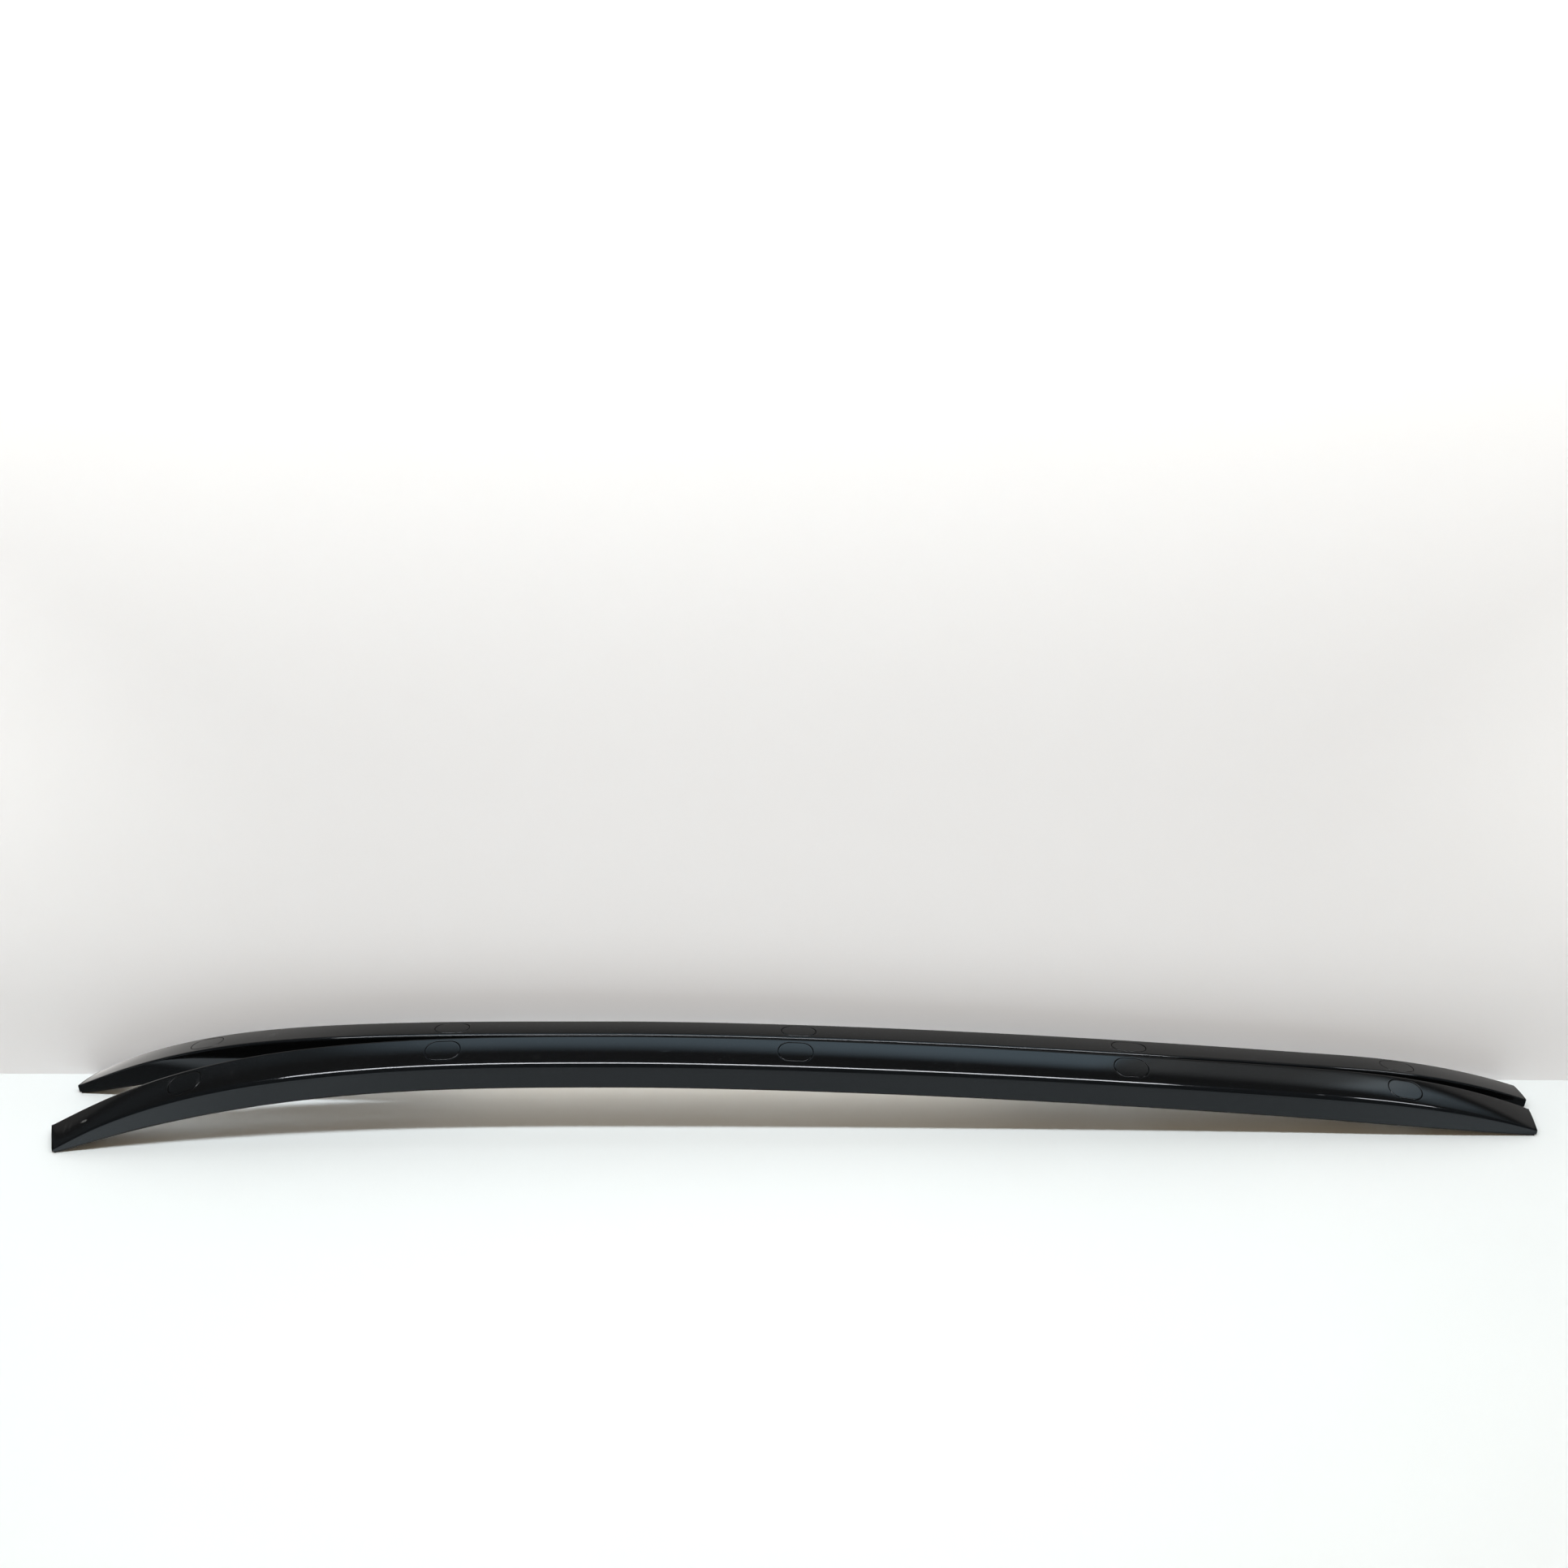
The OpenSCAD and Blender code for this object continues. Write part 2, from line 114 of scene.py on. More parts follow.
# Colours of the pieces' surfaces
PLASTIC, PLASTIC_DUST = (0.0042, 0.0047, 0.0052), (0.15, 0.155, 0.155)
# painted shade: the groove round each plug is blacker than the plastic; its specks are real dust
GROOVE_SHADE, GROOVE_DUST = (0.0015, 0.0016, 0.0018), (0.008, 0.008, 0.008)
SEAL, SEAL_DUST = (0.012, 0.012, 0.012), (0.06, 0.058, 0.055)
CAST_DARK, CAST_LIGHT = (0.42, 0.43, 0.44), (0.60, 0.61, 0.62)
ZINC_DARK, ZINC_LIGHT = (0.52, 0.53, 0.52), (0.70, 0.70, 0.66)
PLASTIC_IOR = 1.5
RAIL_DUSTY, PLUG_DUSTY = 0.5, 0.4
MARKS = (
    # place on the top faces, reach along, across and up, both in metres, and strength
    ((-0.8720, -0.0521, 0.0323), (0.0062, 0.0021, 0.0060), 1.0),
    ((-0.7658, -0.0329, 0.0767), (0.0022, 0.0090, 0.0090), 0.05),
    ((-0.7270, -0.0414, 0.0841), (0.0030, 0.0100, 0.0090), 0.06),
    ((-0.6855, -0.0347, 0.0940), (0.0024, 0.0070, 0.0080), 0.05),
    ((-0.8986, -0.0505, 0.0198), (0.0016, 0.0110, 0.0100), 0.10),
    ((-0.8910, -0.0500, 0.0230), (0.0014, 0.0100, 0.0100), 0.08),
    ((-0.7596, 0.0356, 0.0767), (0.0080, 0.0040, 0.0080), 0.12),
    ((-0.6537, 0.0319, 0.0991), (0.0090, 0.0060, 0.0080), 0.12),
    ((0.1960, -0.0268, 0.1027), (0.0040, 0.0080, 0.0080), 0.03),
    ((-0.3148, -0.0320, 0.1165), (0.0060, 0.0050, 0.0080), 0.03),
)
MARK_CORE = 0.35

# Stage in metres. The wall stands a little nearer at its right: its y at both ends of the rails.
WALL_LEFT, WALL_RIGHT, REACH_X = 0.0741, 0.0622, 0.922
FLOOR_REACH, WALL_REACH, WALL_HEIGHT = 6.0, 2.6, 1.6
# wall colours: painted shade low in its middle, painted light towards its top and ends
WALL_SHADED, WALL_LIT = (0.615, 0.615, 0.625), (0.79, 0.80, 0.81)
FLOOR_GREY, FLOOR_PALE = (0.845, 0.895, 0.905), (0.87, 0.915, 0.925)
WALL_GLOW, FOOT_GLOW = (0.99, 1.0, 1.01), (1.13, 0.97, 0.80)
# painted reflections: colours of the wall and the floor that gloss alone sees
MIRROR_COOL, MIRROR_NEUTRAL, MIRROR_LOW = (1.0, 1.36, 1.62), (1.0, 1.02, 1.0), (1.0, 0.98, 0.95)
MIRROR_LEAST = 0.05
MIRROR_FLOOR = (0.94, 1.07, 1.15)

# Levels along the rails, as pairs of x in metres and level from 0 to 1, for the painted reflections
# in the wall and floor and the glow at the wall's foot
PROFILE_REACH = 1.3
COOL_PROFILE = (
    (-0.9, 0.04), (-0.7, 0.10), (-0.42, 0.85), (0.2, 1.0), (0.43, 0.95), (0.50, 0.08), (0.70, 0.05),
    (0.77, 0.15), (0.85, 0.6), (0.92, 0.6), (1.0, 0.35), (1.12, 0.1),
)
NEUTRAL_PROFILE = (
    (0.43, 0), (0.51, 0.5), (0.6, 0.38), (0.75, 0.42), (0.84, 0.7), (0.93, 0.15), (1.1, 0),
)
LOW_PROFILE = (
    (-1.0, 0.2), (-0.91, 1.0), (-0.72, 0.42), (-0.5, 0.27), (0.7, 0.27), (0.9, 0.42),
)
BEHIND_PROFILE = ((-0.5, 0), (-0.36, 1), (0.2, 1), (0.34, 0))
FOOT_PROFILE = (
    (-0.92, 0), (-0.80, 1.0), (-0.70, 0.7), (-0.62, 0.55), (-0.4, 0.5), (0.25, 0.5), (0.40, 0.75),
    (0.55, 0.95), (0.80, 1.0), (0.92, 0),
)
FLOOR_PROFILE = ((-0.86, 0.85), (-0.66, 0.62), (-0.4, 0.5), (0.6, 0.5), (0.85, 0.62))

# Lamps: all hang at one height in front of the rails and aim at the rails' foot
LAMP_Y, LAMP_Z, AIM_Z = -0.60, 2.6, 0.05
KEY_X, KEY_SIZE, KEY_POWER, KEY_COLOUR = -0.2, (3.3, 0.16), 62, (0.95, 1.0, 1.04)
GLINT_WIDTH, GLINT_COLOUR = 0.42, (0.97, 1.0, 1.05)
# name, x, length and power of each lamp that only gloss shows
GLINTS = (("glint_middle", -0.2, 3.3, 150), ("glint_front", 2.5, 0.8, 14))
ROOM_WARM, ROOM_STRENGTH = (1.0, 0.72, 0.44), 0.27
ROOM_MIRRORED, ROOM_SEEN = (0.06, 0.075, 0.09), (0.78, 0.785, 0.79)

CAMERA_PLACE, CAMERA_DOWN = (-0.0152, -1.519, 1.350), 29.85
SENSOR_WIDTH, LENS, CLIP_START, CLIP_END = 36, 36.18, 0.01, 50


# The rail's form

def arch(d):
    """Height of the base line at d from the rear end."""
    rear = np.maximum(0, 1 - np.abs((ARCH_PEAK - d) / (ARCH_PEAK - GASKET_END)) ** REAR_ARCH_POWER)
    front = np.maximum(
        0, 1 - np.abs((d - ARCH_PEAK) / (LENGTH - GASKET_END - ARCH_PEAK)) ** FRONT_ARCH_POWER
    )
    return ARCH_RISE * np.where(d < ARCH_PEAK, rear ** REAR_LANDING, front ** FRONT_LANDING)


def plan(d):
    """Distance of the outer side from the mirror plane."""
    rear = np.maximum(0, 1 - d / REAR_BEND_LENGTH) ** REAR_BEND_POWER
    front = np.maximum(0, 1 - (LENGTH - d) / FRONT_BEND_LENGTH) ** 2
    return PAIR_GAP / 2 + REAR_BEND * rear + FRONT_BEND * front


def tapered(d, middle, rear, front, rear_power=2, front_power=2):
    """A size at d that goes from the middle's to each end's over that end's taper."""
    half = d < LENGTH / 2
    share = np.maximum(0, np.where(half, 1 - d / REAR_TAPER, 1 - (LENGTH - d) / FRONT_TAPER))
    end = np.where(half, rear, front)
    return middle - (middle - end) * share ** np.where(half, rear_power, front_power)


def width(d):
    return tapered(d, TOP_WIDTH, REAR_END_WIDTH, FRONT_END_WIDTH)


def drop(d):
    """How far the top falls from the outer to the inner side."""
    return tapered(d, TOP_DROP, REAR_END_DROP, FRONT_END_DROP)


def height(d):
    return tapered(
        d, SECTION_HEIGHT, REAR_END_HEIGHT, FRONT_END_HEIGHT, REAR_TAPER_POWER, FRONT_TAPER_POWER
    )


def crease(d, middle):
    """Reach of a crease's rounding."""
    return tapered(d, middle, END_CREASE, END_CREASE)


def top_line(d, across):
    """Height of the crowned top over the base line."""
    share = across / width(d)
    return height(d) - drop(d) * share + 4 * CROWN * share * (1 - share)


def top_tilt(d):
    """Lean of the top face towards the inner side, in radians."""
    return math.atan(float(drop(d) / width(d)))


def section_turn(d):
    """Heading of a section in plan, less its turn into the rear cut, and that turn, in radians."""
    cut = np.radians(REAR_CUT) * np.maximum(0, 1 - d / REAR_CUT_LENGTH) ** 2
    return np.arctan((plan(d + 1) - plan(d - 1)) / 2) - cut, cut


def place(d, across, up):
    """Points of the left rail in millimetres, before the pair's shift."""
    d, across, up = np.broadcast_arrays(*(np.asarray(a, float) for a in (d, across, up)))
    turn, cut = section_turn(d)
    reach = across / np.cos(cut)
    return np.stack(
        [d - LENGTH / 2 - reach * np.sin(turn), -plan(d) - reach * np.cos(turn), arch(d) + up], -1
    )


def to_side(points, side):
    """Shifts the left rail's points, or mirrors them into the right rail, and scales to metres."""
    points = np.array(points, float).reshape(-1, 3)
    sign = 1 if side == "right" else -1
    points[:, 0] += sign * PAIR_SHIFT / 2
    points[:, 1] *= -sign
    return points * MM


class Shell:
    """Collects points and faces of one piece."""

    def __init__(self):
        self.points, self.faces, self.slots = [], [], []

    def add(self, points):
        """Adds points and gives their indices."""
        points = np.asarray(points, float).reshape(-1, 3)
        first = len(self.points)
        self.points.extend(map(tuple, points))
        return np.arange(first, first + len(points))

    def section(self, d, rows):
        """Adds points given as rows of (across, up) at d."""
        rows = np.array(rows)
        return self.add(place(d, rows[:, 0], rows[:, 1]))

    def quads(self, a, b, closed=False, slot=GLOSS):
        """Quads between two equal rows of indices."""
        count = len(a)
        for i in range(count if closed else count - 1):
            j = (i + 1) % count
            self.faces.append((a[i], a[j], b[j], b[i]))
            self.slots.append(slot)

    def face(self, row):
        self.faces.append(tuple(row))
        self.slots.append(GLOSS)

    def build(self, name, side):
        """Makes the object, with its faces turned outwards."""
        points = to_side(self.points, side)
        mesh = bpy.data.meshes.new(name)
        faces = [tuple(int(i) for i in f) for f in self.faces]
        mesh.from_pydata([tuple(p) for p in points], [], faces)
        mesh.polygons.foreach_set("material_index", self.slots)
        mesh.validate()
        turned = bmesh.new()
        turned.from_mesh(mesh)
        bmesh.ops.recalc_face_normals(turned, faces=turned.faces)
        turned.to_mesh(mesh)
        turned.free()
        mesh.shade_smooth()
        mesh.set_sharp_from_angle(angle=math.radians(SMOOTH_ANGLE))
        piece = bpy.data.objects.new(name, mesh)
        bpy.context.scene.collection.objects.link(piece)
        return piece


# The rail's skin

def stations():
    """Distances along the rail, crowded towards its ends and even within each plug's window."""
    fixed = (0, END_WALL, LENGTH - END_WALL, LENGTH)
    plain = []
    d = 0.0
    while d < LENGTH - 0.5:
        plain.append(d)
        near_end = min(d, LENGTH - d)
        d += END_PITCH + PITCH_GROWTH * min(1, near_end / GROWTH_REACH)
    plain += fixed[1:]
    inside = [(f - WINDOW_ALONG, f + WINDOW_ALONG) for f in FEET]
    wanted = [d for d in plain if not any(a - 1 < d < b + 1 for a, b in inside)]
    for a, b in inside:
        wanted += list(np.linspace(a, b, ALONG_STEPS + 1))
    wanted = sorted(wanted)
    kept = [wanted[0]]
    for d in wanted[1:]:
        close = d - kept[-1] < LEAST_PITCH
        if close and d not in fixed:
            continue
        if close and kept[-1] not in fixed:
            kept.pop()
        kept.append(d)
    return np.array(kept)


def crease_curve(start, corner, end):
    """Points of a crease's rounding between two edges that would meet in a corner."""
    a, b, c = np.array([start, corner, end], float)
    t = np.linspace(0, 1, CREASE_STEPS + 1)[:, None]
    return a * (1 - t) ** 2 + 2 * b * t * (1 - t) + c * t ** 2


def window_lines(d):
    """Lines across the top through the plug windows, squeezed where the top is narrow."""
    lines = np.linspace(PLUG_ACROSS - WINDOW_ACROSS, PLUG_ACROSS + WINDOW_ACROSS, ACROSS_STEPS + 1)
    room = float(width(d) - crease(d, INNER_CREASE)) - WINDOW_EDGE
    squeeze = min(1, room / (lines[-1] + WINDOW_SPARE))
    return lines * squeeze


def outer_section(d):
    """Points of the outer outline as rows of (across, up), and the first window line's index."""
    d = float(d)
    w, h = float(width(d)), float(height(d))
    r, q = float(crease(d, OUTER_CREASE)), float(crease(d, INNER_CREASE))
    edge = h - float(drop(d))
    lines = window_lines(d)

    def top(x):
        return x, float(top_line(d, x))

    outer = [(0, LIFT + (h - r - LIFT) * i / SIDE_STEPS) for i in range(SIDE_STEPS)]
    first = crease_curve((0, h - r), (0, h), top(r))
    near = [top(x) for x in np.linspace(r, lines[0], NEAR_STEPS + 1)[1:-1]]
    crown = [top(x) for x in lines]
    far = [top(x) for x in np.linspace(lines[-1], w - q, FAR_STEPS + 1)[1:-1]]
    last = crease_curve(top(w - q), (w, edge), (w, edge - q))
    inner = [(w, edge - q + (LIFT - edge + q) * i / SIDE_STEPS) for i in range(1, SIDE_STEPS + 1)]
    rows = np.concatenate([outer, first, near, crown, far, last, inner])
    return rows, len(outer) + len(first) + len(near)


def ceiling(d, across):
    """Height of the hollow's ceiling: straight between its middle and its sides."""
    d = float(d)
    left, middle, right = WALL, float(width(d)) / 2, float(width(d)) - WALL
    levels = [float(top_line(d, x)) - WALL for x in (left, middle, right)]
    return float(np.interp(across, (left, middle, right), levels))


def inner_section(d):
    """Points of the hollow from the outer lip up, over the ceiling and down to the inner lip."""
    w = float(width(d))
    rows = [(WALL, LIFT), (WALL, ceiling(d, WALL))]
    first = len(rows)
    rows += [(x, ceiling(d, x)) for x in window_lines(d)]
    rows += [(w - WALL, ceiling(d, w - WALL)), (w - WALL, LIFT)]
    return rows, first


def plug_middle(d):
    """Point of the top face on the plugs' line."""
    return place(d, PLUG_ACROSS, top_line(d, PLUG_ACROSS))


def plug_frame(d):
    """Origin and axes of a plug on the top face: along the rail, across it, and up out of it."""
    along = plug_middle(d + 1) - plug_middle(d - 1)
    along /= np.linalg.norm(along)
    tilt = top_tilt(d)
    level = np.array([-along[1], along[0], 0.0])
    level /= np.linalg.norm(level)
    up = np.cross(along, level)
    up = up * math.cos(tilt) - level * math.sin(tilt)
    across = np.cross(up, along)
    return plug_middle(d), along, across / np.linalg.norm(across), up


def in_plane(plug, flat, depth):
    """Points at a depth below a plug's own plane, from plug_frame's origin and axes."""
    origin, along, across, up = plug
    return origin + flat[:, :1] * along + flat[:, 1:] * across - up * depth


def on_surface(d, flat):
    """Points of the top face for coordinates in the plug's own plane."""
    slope = math.atan(float(arch(d + 1.0) + height(d + 1.0) - arch(d - 1.0) - height(d - 1.0)) / 2)
    e = d + flat[:, 0] * math.cos(slope)
    across = PLUG_ACROSS - flat[:, 1] * math.cos(top_tilt(d))
    return place(e, across, top_line(e, across))


def obround_ring(perimeter, radius_along, radius):
    """Points of an obround on rays from its spine to each point of a window's perimeter."""
    spine = radius_along - radius
    x, y = perimeter[:, 0], perimeter[:, 1]
    cx = np.clip(x, -spine, spine)
    way = np.stack([x - cx, y], -1)
    way /= np.linalg.norm(way, axis=1)[:, None]
    return np.stack([cx, np.zeros_like(cx)], -1) + way * radius


def window_perimeter():
    """Window's perimeter in the plug's plane: round it once, corner by corner."""
    a = np.linspace(-WINDOW_ALONG, WINDOW_ALONG, ALONG_STEPS + 1)
    b = np.linspace(WINDOW_ACROSS, -WINDOW_ACROSS, ACROSS_STEPS + 1)
    return np.array(
        [(x, b[0]) for x in a[:-1]]
        + [(a[-1], y) for y in b[:-1]]
        + [(x, b[-1]) for x in a[:0:-1]]
        + [(a[0], y) for y in b[:0:-1]]
    )


def perimeter_indices(grid, i0, j0):
    """Indices of a window's border in a grid of station rows, in window_perimeter's order."""
    i1, j1 = i0 + ALONG_STEPS, j0 + ACROSS_STEPS
    return (
        [grid[i][j0] for i in range(i0, i1)]
        + [grid[i1][j] for j in range(j0, j1)]
        + [grid[i][j1] for i in range(i1, i0, -1)]
        + [grid[i0][j] for j in range(j1, j0, -1)]
    )


def seat_rings(shell, d, outer_border, inner_border):
    """Rounded rim, recess, ledge and opening of one plug between the skin and the ceiling."""
    around = window_perimeter()
    plug = plug_frame(d)
    up = plug[-1]
    rim_along, rim = PLUG_LENGTH / 2 + GROOVE, PLUG_WIDTH / 2 + GROOVE
    hole = obround_ring(around, PLUG_LENGTH / 2 - LEDGE, PLUG_WIDTH / 2 - LEDGE)
    rows = [outer_border]
    for share in WINDOW_SHARES:
        edge = obround_ring(around, rim_along + BEVEL, rim + BEVEL)
        rows.append(shell.add(on_surface(d, around * (1 - share) + edge * share)))
    for k in range(SEAT_BEVEL_STEPS + 1):
        angle = math.pi / 2 * k / SEAT_BEVEL_STEPS
        r = BEVEL * (1 - math.sin(angle))
        points = on_surface(d, obround_ring(around, rim_along + r, rim + r))
        rows.append(shell.add(points - up * BEVEL * (1 - math.cos(angle))))
    rows.append(shell.add(in_plane(plug, obround_ring(around, rim_along, rim), PLUG_DEPTH)))
    rows.append(shell.add(in_plane(plug, hole, PLUG_DEPTH)))
    rows.append(shell.add(in_plane(plug, hole, PLUG_DEPTH + OPENING_DEPTH)))
    rows.append(inner_border)
    for i, (a, b) in enumerate(zip(rows, rows[1:])):
        slot = DULL if i in DULL_SEAT else GLOSS
        shell.quads(list(a)[::-1], list(b)[::-1], closed=True, slot=slot)


def close_end(shell, end, row, hollow):
    """Underside between the last solid row of points and the row where the hollow starts."""
    shell.face((end[0], row[0], hollow[0]))
    shell.face((end[0], hollow[0], hollow[-1]))
    shell.face((end[0], hollow[-1], end[-1]))
    shell.face((end[-1], hollow[-1], row[-1]))


def rail_shell():
    """The rail: skin, hollow, plug seats and ribs."""
    shell = Shell()
    ds = stations()
    outer, inner = [], []
    for d in ds:
        rows, top_first = outer_section(d)
        outer.append(shell.section(d, rows))
        if END_WALL <= d <= LENGTH - END_WALL:
            rows, ceil_first = inner_section(d)
            inner.append(shell.section(d, rows))
        else:
            inner.append(None)
    starts = [int(np.argmin(np.abs(ds - (f - WINDOW_ALONG)))) for f in FEET]

    def in_window(i, j, first):
        return any(s <= i < s + ALONG_STEPS for s in starts) and first <= j < first + ACROSS_STEPS

    for i in range(len(ds) - 1):
        a, b = outer[i], outer[i + 1]
        for j in range(len(a) - 1):
            if not in_window(i, j, top_first):
                shell.face((a[j], b[j], b[j + 1], a[j + 1]))
        if inner[i] is not None and inner[i + 1] is not None:
            p, q = inner[i], inner[i + 1]
            for j in range(len(p) - 1):
                if not in_window(i, j, ceil_first):
                    shell.face((p[j], p[j + 1], q[j + 1], q[j]))
            shell.face((a[0], p[0], q[0], b[0]))
            shell.face((p[-1], a[-1], b[-1], q[-1]))
    first = next(i for i, row in enumerate(inner) if row is not None)
    last = max(i for i, row in enumerate(inner) if row is not None)
    for i in list(range(0, first)) + list(range(last, len(ds) - 1)):
        a, b = outer[i], outer[i + 1]
        near, far = inner[i], inner[i + 1]
        if near is None and far is None:
            shell.face((a[0], a[-1], b[-1], b[0]))
        elif near is None:
            close_end(shell, a, b, far)
        else:
            close_end(shell, b, a, near)
    for row in (inner[first], inner[last]):
        for a, b in zip(row[1:], row[2:]):
            shell.face((row[0], a, b))
    shell.face(outer[0])
    shell.face(outer[-1][::-1])
    for f, start in zip(FEET, starts):
        seat_rings(
            shell, f, perimeter_indices(outer, start, top_first),
            perimeter_indices(inner, start, ceil_first),
        )
    add_ribs(shell)
    return shell


def rib_places():
    """Middles of the cross ribs: one at each side of every foot, and equal bays between them."""
    half = FOOT_LENGTH / 2 + FOOT_ROOM + RIB / 2
    limits = [END_WALL - RIB / 2]
    for f in FEET:
        limits += [f - half, f + half]
    limits.append(LENGTH - END_WALL + RIB / 2)
    places = []
    for a, b in zip(limits[::2], limits[1::2]):
        count = max(1, round((b - a) / RIB_PITCH))
        places += [a + (b - a) * k / count for k in range(count + 1)]
    return [p for p in places if END_WALL < p < LENGTH - END_WALL]


def add_ribs(shell):
    """Cross ribs as thin plates let a little into the walls."""
    for d in rib_places():
        rings = []
        for e in (d - RIB / 2, d + RIB / 2):
            w = float(width(e))
            left, middle, right = WALL, w / 2, w - WALL
            rows = [(left - RIB_SUNK, LIFT + RIB_CLEAR)]
            rows += [(x, ceiling(e, min(max(x, left), right)) + RIB_SUNK)
                     for x in (left - RIB_SUNK, middle, right + RIB_SUNK)]
            rows += [(right + RIB_SUNK, LIFT + RIB_CLEAR)]
            rings.append(shell.section(e, rows))
        shell.quads(rings[1], rings[0], closed=True)
        shell.face(rings[0])
        shell.face(rings[1][::-1])


# Plugs and bolts

def plug_shell(number):
    """Flush plug: crowned top with a rounded rim, a flat underside and an obround skirt."""
    d = FEET[number]
    flat_share, lift_front, lift_inner = SEATED[number]
    shell = Shell()
    angles = np.linspace(0, 2 * math.pi, PLUG_SIDES + 1)[:-1]
    circle = np.stack([np.cos(angles), np.sin(angles)], -1)
    spine = (PLUG_LENGTH - PLUG_WIDTH) / 2
    shift = np.where(circle[:, 0] >= 0, spine, -spine)
    plug = plug_frame(d)
    radius, reach = PLUG_WIDTH / 2, PLUG_LENGTH / 2

    def ring(r):
        flat = circle * r
        flat[:, 0] += shift
        return flat

    def top(flat, depth):
        """The top face's own curve, partly flattened and leant, at a depth below it."""
        crowned = on_surface(d, flat)
        level = in_plane(plug, flat, PLUG_LEVEL)
        lean = lift_front * flat[:, :1] / reach - lift_inner * flat[:, 1:] / radius
        return crowned * (1 - flat_share) + level * flat_share + plug[-1] * (lean - depth)

    rows = [shell.add(top(ring(r), PLUG_SINK)) for r in (*PLUG_RINGS, radius - BEVEL)]
    for k in range(1, PLUG_BEVEL_STEPS + 1):
        angle = math.pi / 2 * k / PLUG_BEVEL_STEPS
        flat = ring(radius - BEVEL + BEVEL * math.sin(angle))
        rows.append(shell.add(top(flat, PLUG_SINK + BEVEL * (1 - math.cos(angle)))))
    under, end = PLUG_DEPTH - SEAT, PLUG_DEPTH + SKIRT_REACH
    skirt = radius - LEDGE - SEAT
    bore = skirt - SKIRT_WALL
    for r, depth in ((radius, under), (skirt, under), (skirt, end), (bore, end), (bore, under)):
        rows.append(shell.add(in_plane(plug, ring(r), depth)))
    for i, (a, b) in enumerate(zip(rows, rows[1:])):
        shell.quads(a, b, closed=True, slot=DULL if i in DULL_PLUG else GLOSS)
    shell.face(rows[0][::-1])
    shell.face(rows[-1])
    return shell


def thread_radius(z, angles):
    """Radius of the cut thread z above its tip: flat crests and roots, run out at the top."""
    phase = np.mod(z / PITCH - angles / (2 * math.pi), 1)
    share = np.clip((1 - np.abs(2 * phase - 1) - THREAD_CREST) / THREAD_FLANK, 0, 1)
    fade = min(1, max(0, (BOLT_REACH - z) / PITCH))
    tip = BOLT / 2 - max(0, BOLT_CHAMFER - z)
    return np.minimum(BOLT / 2 - share * THREAD_DEPTH * PITCH * fade, tip)


def head_radius(angles, reach):
    """Hexagon with corners cut back to a circle."""
    corner = np.mod(angles, math.pi / 3) - math.pi / 6
    return np.minimum(HEAD_FLATS / 2 / np.cos(corner), reach)


def bolt_rows(angles):
    """Heights above the foot's base, and radii at every angle, from the tip to the head's dish."""
    even = np.ones(BOLT_SIDES)
    tip = -LIFT - BOLT_REACH
    steps = round(BOLT_REACH / PITCH * THREAD_STEPS)
    rows = [(tip + BOLT_REACH * i / steps, thread_radius(BOLT_REACH * i / steps, angles))
            for i in range(steps + 1)]
    flange = FLANGE / 2
    top = BOSS + FLANGE_HEIGHT
    for z, r in (
        (-LIFT + SHANK_START, SHANK / 2), (BOSS, SHANK / 2),
        (BOSS, flange - FLANGE_FOOT), (BOSS + FLANGE_FOOT, flange),
        (top - FLANGE_EDGE, flange), (top, flange - FLANGE_INSET),
    ):
        rows.append((z, even * r))
    head = top + HEAD_HEIGHT
    rows += [(head - down, head_radius(angles, reach)) for down, reach in HEAD_CORNERS]
    rows += [(head - down, even * r) for down, r in HEAD_DISH]
    return rows


def bolt_shell():
    """Five captive bolts, each square to the foot that holds it."""
    shell = Shell()
    angles = np.arange(BOLT_SIDES) * 2 * math.pi / BOLT_SIDES
    rows = bolt_rows(angles)
    for d in FEET:
        slope = math.atan(float(arch(d + 1) - arch(d - 1)) / 2)
        turn = float(section_turn(d)[0])
        heading = np.array([math.cos(turn), -math.sin(turn), 0])
        along = heading * math.cos(slope) + np.array([0, 0, math.sin(slope)])
        up = -heading * math.sin(slope) + np.array([0, 0, math.cos(slope)])
        across = np.cross(up, along)
        origin = place(d, PLUG_ACROSS, LIFT)
        rings = []
        for z, radius in rows:
            flat = np.outer(np.cos(angles) * radius, along)
            flat = flat + np.outer(np.sin(angles) * radius, across)
            rings.append(shell.add(origin + flat + up * z))
        for a, b in zip(rings, rings[1:]):
            shell.quads(a, b, closed=True)
        shell.face(rings[0])
        shell.face(rings[-1])
    return shell


# Nodes that the materials share

def empty_material(name):
    """A material with its output alone: material, tree and the surface socket."""
    material = bpy.data.materials.new(name)
    material.use_nodes = True
    tree = material.node_tree
    tree.nodes.clear()
    return material, tree, tree.nodes.new("ShaderNodeOutputMaterial").inputs[0]


def new_material(name):
    """A material with a Principled shader: material, tree and the shader."""
    material, tree, surface = empty_material(name)
    shader = tree.nodes.new("ShaderNodeBsdfPrincipled")
    tree.links.new(shader.outputs[0], surface)
    return material, tree, shader


def position(tree, scale=(1, 1, 1)):
    """The object's own coordinates, stretched."""
    coords = tree.nodes.new("ShaderNodeTexCoord")
    mapping = tree.nodes.new("ShaderNodeMapping")
    mapping.inputs["Scale"].default_value = scale
    tree.links.new(coords.outputs["Object"], mapping.inputs["Vector"])
    return mapping.outputs[0]


def noise(tree, size, detail=3, stretch=(1, 1, 1), rough=0.5):
    """Noise whose patches are about size metres across."""
    node = tree.nodes.new("ShaderNodeTexNoise")
    node.inputs["Scale"].default_value = 1 / size
    node.inputs["Detail"].default_value = detail
    node.inputs["Roughness"].default_value = rough
    tree.links.new(position(tree, stretch), node.inputs["Vector"])
    return node.outputs["Fac"]


